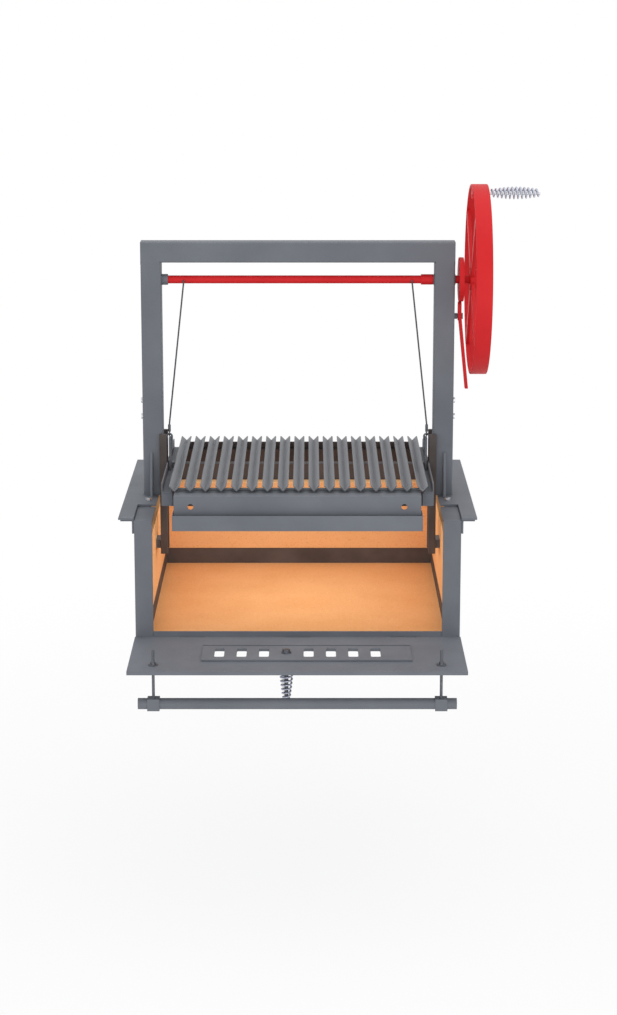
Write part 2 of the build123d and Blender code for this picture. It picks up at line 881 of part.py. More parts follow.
# Hinges along the sill: fixed barrels, door barrels and their pins
barrel_radius = 5.0
hinge_pin_radius = 2.5
door_barrel = 14.5
leaf_thickness = 4.0
door_leaf = 27.0
with BuildPart() as sill_barrels:
    for place in hinge_places:
        for way in (-1, 1):
            near, far = (place + way * reach for reach in outer_barrel)
            rod((near, hinge_y, hinge_height), (far, hinge_y, hinge_height), barrel_radius)
            block((near, far), (hinge_y, box_front), (hinge_height - leaf_thickness, hinge_height))
            rod(
                (near - way, hinge_y, hinge_height),
                (far + way, hinge_y, hinge_height),
                hinge_pin_radius,
                Mode.SUBTRACT,
            )
save(sill_barrels, "sill_barrels")

with BuildPart() as door_barrels:
    for place in hinge_places:
        span = (place - door_barrel, place + door_barrel)
        leaf_top = door_top - door_sheet
        rod((span[0], hinge_y, hinge_height), (span[1], hinge_y, hinge_height), barrel_radius)
        block(span, (hinge_y - door_leaf, hinge_y), (leaf_top - leaf_thickness, leaf_top))
        rod(
            (span[0] - 1, hinge_y, hinge_height),
            (span[1] + 1, hinge_y, hinge_height),
            hinge_pin_radius + running_gap,
            Mode.SUBTRACT,
        )
save(door_barrels, "door_barrels")

with BuildPart() as hinge_pins:
    for place in hinge_places:
        reach = outer_barrel[1]
        rod(
            (place - reach, hinge_y, hinge_height),
            (place + reach, hinge_y, hinge_height),
            hinge_pin_radius,
        )
save(hinge_pins, "hinge_pins")

# Rail on two rods below the open door
rod_rise = 37.0
rod_top = door_top + rod_rise
collar_side = 29.0
washer_radius = 12.0
washer_thickness = 2.0
nut_radius = 6.5
nut_height = 6.0
nut_low_face = door_top + washer_thickness
door_underside = door_top - door_sheet
with BuildPart() as rail_rods:
    for side, sign in sides:
        spot = (sign * rod_x, rail_y)
        rod((*spot, rail_height + rail_radius), (*spot, rod_top), rod_radius)
        hexagon((*spot, nut_low_face), (*spot, nut_low_face + nut_height), nut_radius)
        rod((*spot, door_top), (*spot, nut_low_face), washer_radius)
        hexagon((*spot, door_underside - nut_height), (*spot, door_underside), nut_radius)
save(rail_rods, "rail_rods")

rail_half = grate_half + 47.0
drain_radius = 2.0
with BuildPart() as rail_tube:
    rod((-rail_half, rail_y, rail_height), (rail_half, rail_y, rail_height), rail_radius)
    rod(
        (-rail_half + sheet, rail_y, rail_height),
        (rail_half - sheet, rail_y, rail_height),
        rail_radius - sheet,
        Mode.SUBTRACT,
    )
    rod(
        (0, rail_y, rail_height - rail_radius - 1),
        (0, rail_y, rail_height),
        drain_radius,
        Mode.SUBTRACT,
    )
save(rail_tube, "rail_tube")

with BuildPart() as rail_collars:
    for side, sign in sides:
        half_collar = collar_side / 2
        block(
            (sign * rod_x - half_collar, sign * rod_x + half_collar),
            (rail_y - half_collar, rail_y + half_collar),
            (rail_height - half_collar, rail_height + half_collar),
        )
    rod((-rail_half, rail_y, rail_height), (rail_half, rail_y, rail_height), rail_radius, Mode.SUBTRACT)
    for side, sign in sides:
        rod(
            (sign * rod_x, rail_y, rail_height),
            (sign * rod_x, rail_y, rail_height + collar_side),
            rod_radius,
            Mode.SUBTRACT,
        )
save(rail_collars, "rail_collars")

# Damper: a slide with the same slots, held by two guides, and its bolt and grip
damper_gap = 0.3
damper_low = door_top + damper_gap
damper_top = damper_low + sheet
damper_half = 251.0
damper_centre = 22.0
damper_half_depth = 61.5
with BuildPart() as damper_slide:
    block(
        (damper_centre - damper_half, damper_centre + damper_half),
        (vent_y - damper_half_depth, vent_y + damper_half_depth),
        (damper_low, damper_top),
    )
    with BuildSketch(Plane.XY.offset(damper_top + 1)):
        with Locations([(vent, vent_y) for vent in vents if vent != damper_bolt_x]):
            RectangleRounded(vent_width, vent_length, vent_corner)
        with Locations([(damper_bolt_x, vent_y)]):
            Circle(stud_radius)
    extrude(amount=-sheet - 2, mode=Mode.SUBTRACT)
save(damper_slide, "damper_slide")

guide_web = 3.0
guide_lip = 2.5
guide_sheet = 1.2
guide_span = (damper_centre - damper_half, damper_centre + damper_half)
with BuildPart() as damper_guides:
    for way in (-1, 1):
        edge = vent_y + way * (damper_half_depth + damper_gap)
        guide_top = damper_top + damper_gap
        block(guide_span, (edge, edge + way * guide_web), (door_top, guide_top + guide_sheet))
        block(guide_span, (edge - way * guide_lip, edge), (guide_top, guide_top + guide_sheet))
save(damper_guides, "damper_guides")

damper_grip_top = door_top - door_edge - 4.0
damper_washer = (3.0, 5.0)
damper_head_radius = 9.5
bolt_tip = damper_grip_top - damper_grip_length - 2.0
top_washer_radius = 12.5
top_washer = damper_top + 2.0
with BuildPart() as damper_bolt:
    spot = (damper_bolt_x, vent_y)
    rod((*spot, bolt_tip), (*spot, damper_top), stud_radius)
    rod((*spot, damper_top), (*spot, top_washer), top_washer_radius)
    hexagon((*spot, top_washer), (*spot, top_washer + head_height), damper_head_radius)
    washer_low, washer_top = (damper_grip_top + rise for rise in damper_washer)
    rod((*spot, washer_low), (*spot, washer_top), washer_radius)
save(damper_bolt, "damper_bolt")

damper_plane = Plane(origin=(damper_bolt_x, vent_y, damper_grip_top), x_dir=(1, 0, 0), z_dir=(0, 0, -1))
with BuildPart() as damper_grip:
    with Locations(damper_plane.location):
        add(damper_coil)
save(damper_grip, "damper_grip")
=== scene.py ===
import math
import bpy
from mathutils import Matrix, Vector


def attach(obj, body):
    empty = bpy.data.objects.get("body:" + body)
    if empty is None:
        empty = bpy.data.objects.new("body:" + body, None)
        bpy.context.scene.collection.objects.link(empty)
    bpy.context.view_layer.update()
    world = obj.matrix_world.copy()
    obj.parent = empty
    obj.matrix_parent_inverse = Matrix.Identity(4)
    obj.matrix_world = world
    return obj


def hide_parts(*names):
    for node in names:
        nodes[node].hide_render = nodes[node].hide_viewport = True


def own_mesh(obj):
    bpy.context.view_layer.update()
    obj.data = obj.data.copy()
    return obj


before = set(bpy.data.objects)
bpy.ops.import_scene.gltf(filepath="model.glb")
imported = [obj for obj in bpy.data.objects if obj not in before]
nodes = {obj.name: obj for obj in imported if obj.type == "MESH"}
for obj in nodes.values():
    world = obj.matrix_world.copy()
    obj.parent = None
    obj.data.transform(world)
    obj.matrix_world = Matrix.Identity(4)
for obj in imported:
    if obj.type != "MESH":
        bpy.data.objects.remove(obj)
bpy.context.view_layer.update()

bpy.ops.object.select_all(action="DESELECT")
scene = bpy.context.scene
scene.view_settings.view_transform = "Standard"


def linear(hexColour):
    parts = [int(hexColour[i:i + 2], 16) / 255 for i in (1, 3, 5)]
    return [p / 12.92 if p <= 0.04045 else ((p + 0.055) / 1.055) ** 2.4 for p in parts] + [1.0]


def perMetre(millimetres):
    return 1000.0 / millimetres


# adds one node with its settings, socket values and links
def addNode(material, kind, settings=None, values=None, links=None):
    tree = material.node_tree
    node = tree.nodes.new(kind)
    for key, value in (settings or {}).items():
        setattr(node, key, value)
    for key, value in (values or {}).items():
        node.inputs[key].default_value = value
    for key, source in (links or {}).items():
        tree.links.new(source, node.inputs[key])
    return node


def newMaterial(name):
    material = bpy.data.materials.new(name)
    material.use_nodes = True
    material.node_tree.nodes.clear()
    return material


# sets a ramp's stops, each a place and a colour
def fillRamp(node, stops):
    ramp = node.color_ramp
    while len(ramp.elements) < len(stops):
        ramp.elements.new(0.5)
    for element, (place, colour) in zip(ramp.elements, stops):
        element.position = place
        element.color = colour


# sets a ramp to a look's dark, plain and light tones, at the given places
def fillTones(node, look, places):
    tones = (look["dark"], look["colour"], look["light"])
    fillRamp(node, [(place, linear(tone)) for place, tone in zip(places, tones)])


def grey(value):
    return [value, value, value, 1.0]


coatStops = (0.3, 0.5, 0.72)
ironStops = (0.28, 0.5, 0.74)
clayStops = (0.3, 0.5, 0.7)
peelHeight = 0.00025  # metres of height to each millimetre of width


# Powder coat over welded mild steel: a satin skin with a faint orange peel and soft cloudy tone
def powderCoat(name, look):
    material = newMaterial(name)
    place = addNode(material, "ShaderNodeTexCoord").outputs["Object"]
    clouds = addNode(material, "ShaderNodeTexNoise", None,
                     {"Scale": perMetre(look["cloudSize"]), "Detail": 3.0, "Roughness": 0.55},
                     {"Vector": place})
    peel = addNode(material, "ShaderNodeTexNoise", None,
                   {"Scale": perMetre(look["peelSize"]), "Detail": 2.0}, {"Vector": place})
    colour = addNode(material, "ShaderNodeValToRGB", None, None, {"Fac": clouds.outputs["Fac"]})
    fillTones(colour, look, coatStops)
    gloss = addNode(material, "ShaderNodeValToRGB", None, None, {"Fac": peel.outputs["Fac"]})
    fillRamp(gloss, [(0.3, grey(look["roughness"] - 0.05)), (0.7, grey(look["roughness"] + 0.06))])
    bump = addNode(material, "ShaderNodeBump", None,
                   {"Strength": look["bump"], "Distance": look["peelSize"] * peelHeight},
                   {"Height": peel.outputs["Fac"]})
    shader = addNode(material, "ShaderNodeBsdfPrincipled", None,
                     {"Metallic": 0.0, "IOR": 1.5, "Specular IOR Level": look["shine"]},
                     {"Base Color": colour.outputs["Color"], "Roughness": gloss.outputs["Color"],
                      "Normal": bump.outputs["Normal"]})
    addNode(material, "ShaderNodeOutputMaterial", None, None, {"Surface": shader.outputs["BSDF"]})
    return material


# the peel of real powder coat is about 1 mm across, drawn at 3 mm so that it shows
steelLook = {"colour": "#70747b", "dark": "#6b6f76", "light": "#767a81", "cloudSize": 160, "peelSize": 3.0,
             "roughness": 0.55, "bump": 0.12, "shine": 0.2}
redLook = {"colour": "#d4262a", "dark": "#cd2226", "light": "#da2a2d", "cloudSize": 140, "peelSize": 3.0,
           "roughness": 0.5, "bump": 0.08, "shine": 0.15}
# steel inside the box drawn darker and browner than the grey coat: painted shade, with the warm bounce of the
# brick painted in
shadedInnerLook = {"colour": "#57504e", "dark": "#4e4745", "light": "#615956", "cloudSize": 90, "peelSize": 4.0,
             "roughness": 0.68, "bump": 0.2, "shine": 0.2}
steel = powderCoat("greyPowderCoat", steelLook)
red = powderCoat("redPowderCoat", redLook)
innerShade = powderCoat("paintedShadeSteel", shadedInnerLook)


# Box walls: painted shade, brown with the brick's bounce, on the faces that look in towards the fire, grey
# coat on those that look away from it
def shadedInsideWall(name, outside, inside):
    material = newMaterial(name)
    coords = addNode(material, "ShaderNodeTexCoord").outputs
    clouds = addNode(material, "ShaderNodeTexNoise", None,
                     {"Scale": perMetre(outside["cloudSize"]), "Detail": 3.0}, {"Vector": coords["Object"]})
    peel = addNode(material, "ShaderNodeTexNoise", None,
                   {"Scale": perMetre(outside["peelSize"]), "Detail": 2.0}, {"Vector": coords["Object"]})
    tones = []
    for look in (outside, inside):
        tone = addNode(material, "ShaderNodeValToRGB", None, None, {"Fac": clouds.outputs["Fac"]})
        fillTones(tone, look, coatStops)
        tones.append(tone.outputs["Color"])
    # faces whose normals point in towards the box's middle get the painted-shade tones
    facing = addNode(material, "ShaderNodeVectorMath", {"operation": "DOT_PRODUCT"}, None,
                     {0: coords["Object"], 1: coords["Normal"]})
    away = addNode(material, "ShaderNodeMath", {"operation": "LESS_THAN"}, {1: 0.0},
                   {0: facing.outputs["Value"]})
    colour = addNode(material, "ShaderNodeMix", {"data_type": "RGBA"}, None, {"Factor": away.outputs[0]})
    material.node_tree.links.new(tones[0], colour.inputs[6])
    material.node_tree.links.new(tones[1], colour.inputs[7])
    bump = addNode(material, "ShaderNodeBump", None,
                   {"Strength": outside["bump"], "Distance": outside["peelSize"] * peelHeight},
                   {"Height": peel.outputs["Fac"]})
    shader = addNode(material, "ShaderNodeBsdfPrincipled", None,
                     {"Roughness": outside["roughness"], "Specular IOR Level": outside["shine"]},
                     {"Base Color": colour.outputs[2], "Normal": bump.outputs["Normal"]})
    addNode(material, "ShaderNodeOutputMaterial", None, None, {"Surface": shader.outputs["BSDF"]})
    return material


wall = shadedInsideWall("boxWall", steelLook, shadedInnerLook)


# Grate iron: the same grey, streaked along its length by the rolling
def rolledIron(name, look):
    material = newMaterial(name)
    place = addNode(material, "ShaderNodeTexCoord").outputs["Object"]
    stretched = addNode(material, "ShaderNodeMapping", None, {"Scale": (1.0, look["stretch"], 1.0)},
                        {"Vector": place})
    streaks = addNode(material, "ShaderNodeTexNoise", None,
                      {"Scale": perMetre(look["streakSize"]), "Detail": 4.0, "Roughness": 0.6},
                      {"Vector": stretched.outputs["Vector"]})
    colour = addNode(material, "ShaderNodeValToRGB", None, None, {"Fac": streaks.outputs["Fac"]})
    fillTones(colour, look, ironStops)
    gloss = addNode(material, "ShaderNodeValToRGB", None, None, {"Fac": streaks.outputs["Fac"]})
    fillRamp(gloss, [(0.3, grey(look["roughness"] - 0.08)), (0.7, grey(look["roughness"] + 0.08))])
    bump = addNode(material, "ShaderNodeBump", None, {"Strength": 0.2, "Distance": 0.0005},
                   {"Height": streaks.outputs["Fac"]})
    shader = addNode(material, "ShaderNodeBsdfPrincipled", None, {"Metallic": look["metallic"]},
                     {"Base Color": colour.outputs["Color"], "Roughness": gloss.outputs["Color"],
                      "Normal": bump.outputs["Normal"]})
    addNode(material, "ShaderNodeOutputMaterial", None, None, {"Surface": shader.outputs["BSDF"]})
    return material


ironLook = {"colour": "#73767b", "dark": "#65686d", "light": "#7f8287", "streakSize": 5.0, "stretch": 0.06,
            "roughness": 0.52, "metallic": 0.1}
grateIron = rolledIron("rolledGrateIron", ironLook)


# Fire clay brick: pressed and fired, matt, sandy, with pale flecks of grog and dark pits
def fireClay(name, look):
    material = newMaterial(name)
    place = addNode(material, "ShaderNodeTexCoord").outputs["Object"]
    clouds = addNode(material, "ShaderNodeTexNoise", None,
                     {"Scale": perMetre(look["cloudSize"]), "Detail": 4.0}, {"Vector": place})
    grit = addNode(material, "ShaderNodeTexNoise", None,
                   {"Scale": perMetre(look["gritSize"]), "Detail": 3.0, "Roughness": 0.7}, {"Vector": place})
    grog = addNode(material, "ShaderNodeTexVoronoi", None, {"Scale": perMetre(look["grogSize"])},
                   {"Vector": place})
    base = addNode(material, "ShaderNodeValToRGB", None, None, {"Fac": clouds.outputs["Fac"]})
    fillTones(base, look, clayStops)
    sand = addNode(material, "ShaderNodeValToRGB", None, None, {"Fac": grit.outputs["Fac"]})
    fillRamp(sand, [(0.32, linear(look["pit"])), (0.45, linear("#ffffff")), (0.75, linear("#ffffff"))])
    sanded = addNode(material, "ShaderNodeMix", {"data_type": "RGBA", "blend_type": "MULTIPLY"},
                     {"Factor": 0.4})
    material.node_tree.links.new(base.outputs["Color"], sanded.inputs[6])
    material.node_tree.links.new(sand.outputs["Color"], sanded.inputs[7])
    fleck = addNode(material, "ShaderNodeValToRGB", None, None, {"Fac": grog.outputs["Distance"]})
    fillRamp(fleck, [(0.1, grey(0.5)), (0.2, grey(0.0)), (1.0, grey(0.0))])
    flecked = addNode(material, "ShaderNodeMix", {"data_type": "RGBA"}, None,
                      {"Factor": fleck.outputs["Color"]})
    material.node_tree.links.new(sanded.outputs[2], flecked.inputs[6])
    flecked.inputs[7].default_value = linear(look["fleck"])
    bump = addNode(material, "ShaderNodeBump", None, {"Strength": 0.35, "Distance": 0.0008},
                   {"Height": grit.outputs["Fac"]})
    shader = addNode(material, "ShaderNodeBsdfPrincipled", None,
                     {"Roughness": 0.92, "Specular IOR Level": 0.2},
                     {"Base Color": flecked.outputs[2], "Normal": bump.outputs["Normal"]})
    addNode(material, "ShaderNodeOutputMaterial", None, None, {"Surface": shader.outputs["BSDF"]})
    return material


# one grog grain, some 3 mm across, to each 9 mm of brick; the lining is the same clay as the hearth, painted
# lighter: painted light that makes up for the walls taking less of the lamps' light
hearthLook = {"colour": "#e8a86e", "dark": "#e5a469", "light": "#ebac73", "pit": "#d99c6c",
              "fleck": "#f7cda6", "cloudSize": 120, "gritSize": 4.0, "grogSize": 9.0}
brightenedLiningLook = {**hearthLook, "colour": "#f4bd84", "dark": "#f1b97f", "light": "#f7c189", "pit": "#dda678"}
hearthBrick = fireClay("firedClayHearth", hearthLook)
brightenedLiningBrick = fireClay("firedClayLining", brightenedLiningLook)


# Bare metal: plated or drawn, with a fine grain
def bareMetal(name, look):
    material = newMaterial(name)
    place = addNode(material, "ShaderNodeTexCoord").outputs["Object"]
    grain = addNode(material, "ShaderNodeTexNoise", None,
                    {"Scale": perMetre(look["grainSize"]), "Detail": 3.0}, {"Vector": place})
    colour = addNode(material, "ShaderNodeValToRGB", None, None, {"Fac": grain.outputs["Fac"]})
    fillRamp(colour, [(0.3, linear(look["dark"])), (0.7, linear(look["colour"]))])
    gloss = addNode(material, "ShaderNodeValToRGB", None, None, {"Fac": grain.outputs["Fac"]})
    fillRamp(gloss, [(0.3, grey(look["roughness"] - 0.06)), (0.7, grey(look["roughness"] + 0.08))])
    shader = addNode(material, "ShaderNodeBsdfPrincipled", None, {"Metallic": 1.0},
                     {"Base Color": colour.outputs["Color"], "Roughness": gloss.outputs["Color"]})
    thread = look.get("thread")
    if thread:
        # a rolled thread, its ridges across Z, only on the shank: nuts and heads stand further from the axis
        apart = addNode(material, "ShaderNodeVectorMath", {"operation": "ABSOLUTE"}, None, {0: place})
        apart = addNode(material, "ShaderNodeVectorMath", {"operation": "SUBTRACT"},
                        {1: (*thread["axis"], 0)}, {0: apart.outputs["Vector"]})
        apart = addNode(material, "ShaderNodeVectorMath", {"operation": "MULTIPLY"}, {1: (1, 1, 0)},
                        {0: apart.outputs["Vector"]})
        apart = addNode(material, "ShaderNodeVectorMath", {"operation": "LENGTH"}, None,
                        {0: apart.outputs["Vector"]})
        shank = addNode(material, "ShaderNodeMath", {"operation": "LESS_THAN"}, {1: thread["radius"]},
                        {0: apart.outputs["Value"]})
        # a wave texture of scale 1 has 10 / pi ridges to a metre
        ridges = addNode(material, "ShaderNodeTexWave", {"bands_direction": "Z", "wave_profile": "TRI"},
                         {"Scale": perMetre(thread["pitch"]) * math.pi / 10, "Distortion": 0.0},
                         {"Vector": place})
        height = addNode(material, "ShaderNodeMath", {"operation": "MULTIPLY"}, None,
                         {0: shank.outputs[0], 1: ridges.outputs["Fac"]})
        bump = addNode(material, "ShaderNodeBump", None, {"Strength": 0.7, "Distance": 0.0006},
                       {"Height": height.outputs[0]})
        material.node_tree.links.new(bump.outputs["Normal"], shader.inputs["Normal"])
    addNode(material, "ShaderNodeOutputMaterial", None, None, {"Surface": shader.outputs["BSDF"]})
    return material


zinc = bareMetal("zincPlate", {"colour": "#e6e7ea", "dark": "#cfd1d5", "grainSize": 4.0, "roughness": 0.38})
springWire = bareMetal("brightSpringWire", {"colour": "#cfd2dd", "dark": "#a9adbb", "grainSize": 3.0,
                                            "roughness": 0.22})
ropeWire = bareMetal("drawnRopeWire", {"colour": "#74767b", "dark": "#55575c", "grainSize": 2.0,
                                       "roughness": 0.5})
rodLook = {"colour": "#85888e", "dark": "#6a6d73", "grainSize": 4.0, "roughness": 0.45}
railThread = {"axis": (0.341, 0.524), "radius": 0.0038, "pitch": 2.0}
damperThread = {"axis": (0.0268, 0.430), "radius": 0.0053, "pitch": 2.0}
railRod = bareMetal("railRod", {**rodLook, "thread": railThread})
damperBolt = bareMetal("damperBolt", {**rodLook, "thread": damperThread})
print("materials made")

# CAD nodes keep their shape and take a finish; a live bevel softens their sharp folds and cuts
finishes = {
    "steel": (steel, [
        "left_flange_plate", "right_flange_plate", "flange_angles", "left_corner_post", "right_corner_post",
        "front_sill", "guide_bars", "post_sockets", "left_post", "right_post", "beam", "gussets", "left_bush",
        "right_bush", "left_side_tube", "right_side_tube", "left_lift_hook", "right_lift_hook",
        "grate_side_angles", "drip_apron", "drip_trough", "brake_pin", "door_panel", "sill_barrels",
        "door_barrels", "rail_tube", "rail_collars", "damper_slide", "damper_guides"]),
    "iron": (grateIron, ["grate_bars", "grate_cross_bars"]),
    "wall": (wall, ["left_side_wall", "right_side_wall", "rear_wall", "bottom_pan"]),
    # the parts inside the box take the painted-shade steel
    "innerShade": (innerShade, ["brick_ledges", "cross_tubes", "carriage_legs"]),
    "hearth": (hearthBrick, ["floor_bricks"]),
    "lining": (brightenedLiningBrick, ["left_bricks", "right_bricks", "rear_bricks"]),
    "red": (red, ["windlass_shaft", "shaft_collar", "brake_disc", "wheel_hub", "wheel_spokes", "wheel_rim",
                  "brake_lever"]),
    "zinc": (zinc, ["flange_bolts", "post_bolts", "hinge_pins", "handle_stud"]),
    "rod": (railRod, ["rail_rods"]),
    "bolt": (damperBolt, ["damper_bolt"]),
    "rope": (ropeWire, ["cable_eyes"]),
}
roundedAlready = ["left_post", "right_post", "beam", "cable_eyes"]  # their corners are round in the solid
edgeWidths = {"steel": 0.0008, "iron": 0.0005, "innerShade": 0.0006, "wall": 0.0006, "hearth": 0.0015,
              "lining": 0.0015, "red": 0.0010, "zinc": 0.0005, "rod": 0.0004, "bolt": 0.0004, "rope": 0.0003}
edgeFinish = {"seam": 0.00002, "flatAngle": 0.5, "foldAngle": 38, "segments": 2, "weight": 100}
narrowEdges = {"brake_pin": 0.0003}  # a wider bevel would fill the root of its head and meet the lever
for finish, (material, names) in finishes.items():
    for name in names:
        node = nodes[name]
        node.data.materials.clear()
        node.data.materials.append(material)
        if name in roundedAlready:
            continue
        weld = node.modifiers.new("closeSeams", "WELD")
        weld.merge_threshold = edgeFinish["seam"]
        flats = node.modifiers.new("joinFlats", "DECIMATE")
        flats.decimate_type = "DISSOLVE"
        flats.angle_limit = math.radians(edgeFinish["flatAngle"])
        bevel = node.modifiers.new("softEdges", "BEVEL")
        bevel.width = narrowEdges.get(name, edgeWidths[finish])
        bevel.segments = edgeFinish["segments"]
        bevel.limit_method = "ANGLE"
        bevel.angle_limit = math.radians(edgeFinish["foldAngle"])
        normals = node.modifiers.new("flatFaces", "WEIGHTED_NORMAL")
        normals.weight = edgeFinish["weight"]
print("finishes set on", sum(len(entry[1]) for entry in finishes.values()), "nodes")


def deselect():
    bpy.ops.object.select_all(action="DESELECT")


# names a finished piece, gives it its material and hangs it on its body
def settle(piece, name, material, body):
    piece.name = name
    piece.data.name = name
    deselect()
    piece.select_set(True)
    bpy.context.view_layer.objects.active = piece
    bpy.ops.object.transform_apply(location=True, rotation=True, scale=True)
    piece.data.materials.clear()
    piece.data.materials.append(material)
    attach(piece, body)


# Coil grips: round wire wound into a barrel, or into the narrowing half of one
coilSize = {"endRadius": 0.0082, "wire": 0.0024, "perTurn": 16}


def coilGrip(name, grip, body, node):
    start, along, side = (Vector(grip[key]) for key in ("start", "along", "side"))
    turns, skipped = grip["turns"], grip["skipped"]
    across = along.cross(side)
    deselect()
    bpy.ops.curve.primitive_nurbs_path_add()
    coil = bpy.context.object
    spline = coil.data.splines[0]
    count = turns * coilSize["perTurn"] + 1
    spline.points.add(count - len(spline.points))
    for index in range(count):
        part = index / (count - 1)
        turn = 2 * math.pi * turns * part
        swell = math.sin(math.pi * (skipped + (1 - skipped) * part))
        radius = coilSize["endRadius"] + (grip["middle"] - coilSize["endRadius"]) * swell
        point = start + along * (grip["length"] * part)
        point = point + side * (radius * math.cos(turn)) + across * (radius * math.sin(turn))
        spline.points[index].co = (*point, 1.0)
    spline.order_u = 4
    spline.use_endpoint_u = True
    spline.resolution_u = 2
    coil.data.bevel_depth = coilSize["wire"]
    coil.data.bevel_resolution = 3
    coil.data.use_fill_caps = True
    bpy.ops.object.convert(target="MESH")
    coil = bpy.context.object
    bpy.ops.object.shade_smooth()
    settle(coil, name, springWire, body)
    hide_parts(node)


# middle is the radius at the barrel's widest, skipped the share of the barrel that is left out at the start
wheelGrip = {"start": (0.478, 0, 0.7715), "along": (1, 0, 0), "side": (0, 1, 0), "length": 0.120, "turns": 12,
             "middle": 0.014, "skipped": 0.0}
coilGrip("wheelGripCoil", wheelGrip, "windlass", "wheel_grip")
damperGrip = {"start": (-0.0268, -0.430, -0.302), "along": (0, 0, -1), "side": (1, 0, 0), "length": 0.100,
              "turns": 10, "middle": 0.0165, "skipped": 0.5}
coilGrip("damperGripCoil", damperGrip, "damper", "damper_grip")
print("coil grips wound")

# Lifting cables: six strands laid round a core, taut from the carriage's eye to the shaft
ropeSize = {"diameter": 0.0042, "strands": 6, "strand": 0.00078, "lay": 0.024, "stepsPerLay": 12,
            "low": (0.3247, -0.0125, 0.1905), "top": (0.284, -0.0125, 0.5565), "smoothAngle": 50}


def liftingCable(name, sign, node):
    low = Vector(ropeSize["low"])
    top = Vector(ropeSize["top"])
    low.x *= sign
    top.x *= sign
    run = top - low
    deselect()
    bpy.ops.curve.primitive_nurbs_path_add()
    route = bpy.context.object
    spline = route.data.splines[0]
    for index, point in enumerate(spline.points):
        point.co = (*(low + run * (index / (len(spline.points) - 1))), 1.0)
    spline.order_u = 3
    spline.use_endpoint_u = True
    spline.resolution_u = 12
    line = bpy.data.meshes.new_from_object(route)
    bpy.data.objects.remove(route)
    # each strand is a small ring swept up a steep screw
    ringRadius = ropeSize["diameter"] / 2 - ropeSize["strand"]
    turns = run.length / ropeSize["lay"]
    strands = []
    for index in range(ropeSize["strands"]):
        angle = 2 * math.pi * index / ropeSize["strands"]
        deselect()
        ringPlace = (ringRadius * math.cos(angle), ringRadius * math.sin(angle), 0)
        bpy.ops.mesh.primitive_circle_add(vertices=8, radius=ropeSize["strand"], location=ringPlace)
        strand = bpy.context.object
        bpy.ops.object.transform_apply(location=True)
        screw = strand.modifiers.new("lay", "SCREW")
        screw.axis = "Z"
        screw.angle = 2 * math.pi * turns
        screw.screw_offset = run.length
        screw.steps = int(turns * ropeSize["stepsPerLay"])
        screw.render_steps = screw.steps
        bpy.ops.object.modifier_apply(modifier="lay")
        strands.append(strand)
    deselect()
    bpy.ops.mesh.primitive_cylinder_add(vertices=12, radius=ringRadius, depth=run.length,
                                        location=(0, 0, run.length / 2))
    core = bpy.context.object
    deselect()
    for strand in strands:
        strand.select_set(True)
    core.select_set(True)
    bpy.context.view_layer.objects.active = core
    bpy.ops.object.join()
    rope = bpy.context.object
    bpy.ops.object.transform_apply(location=True, rotation=True, scale=True)
    bpy.ops.object.mode_set(mode="EDIT")
    bpy.ops.mesh.select_all(action="SELECT")
    bpy.ops.mesh.fill_holes(sides=0)
    bpy.ops.mesh.normals_make_consistent(inside=False)
    bpy.ops.object.mode_set(mode="OBJECT")
    bpy.ops.object.shade_smooth_by_angle(angle=math.radians(ropeSize["smoothAngle"]))
    rope.rotation_mode = "QUATERNION"
    rope.rotation_quaternion = Vector((0, 0, 1)).rotation_difference(run)
    rope.location = low
    settle(rope, name, ropeWire, "firebox")
    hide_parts(node)
    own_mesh(rope)


liftingCable("leftLiftCable", -1, "left_cable")
liftingCable("rightLiftCable", 1, "right_cable")
print("cables laid")

# Weld beads: rows of small overlapping ripples, left as laid and painted over
beadSize = {"radius": 0.0018, "step": 0.0022, "smoothAngle": 60}


def ripple(place):
    deselect()
    bpy.ops.mesh.primitive_uv_sphere_add(segments=10, ring_count=6, radius=beadSize["radius"], location=place)
    bead = bpy.context.object
    bpy.ops.object.transform_apply(location=True)
    return bead


# a straight row of ripples
def weldRun(start, end):
    run = Vector(end) - Vector(start)
    bead = ripple(start)
    rows = bead.modifiers.new("row", "ARRAY")
    rows.count = max(2, int(run.length / beadSize["step"]))
    rows.use_relative_offset = False
    rows.use_constant_offset = True
    rows.constant_offset_displace = run / (rows.count - 1)
    bpy.ops.object.modifier_apply(modifier="row")
    return bead


# a ring of ripples round the X axis
def weldRing(centre, reach):
    bead = ripple((centre[0], centre[1], centre[2] + reach))
    bpy.ops.object.mode_set(mode="EDIT")
    bpy.ops.mesh.select_all(action="SELECT")
    count = int(2 * math.pi * reach / beadSize["step"])
    turned = 2 * math.pi * (count - 1) / count
    bpy.ops.mesh.spin(steps=count - 1, dupli=True, angle=turned, center=centre, axis=(1, 0, 0))
    bpy.ops.mesh.select_all(action="SELECT")
    bpy.ops.mesh.normals_make_consistent(inside=False)
    bpy.ops.object.mode_set(mode="OBJECT")
    return bead


# makes one piece of the beads that ride on one body
def joinBeads(beads, name, material, body):
    deselect()
    for bead in beads:
        bead.select_set(True)
    bpy.context.view_layer.objects.active = beads[0]
    bpy.ops.object.join()
    bpy.ops.object.shade_smooth_by_angle(angle=math.radians(beadSize["smoothAngle"]))
    settle(bpy.context.object, name, material, body)


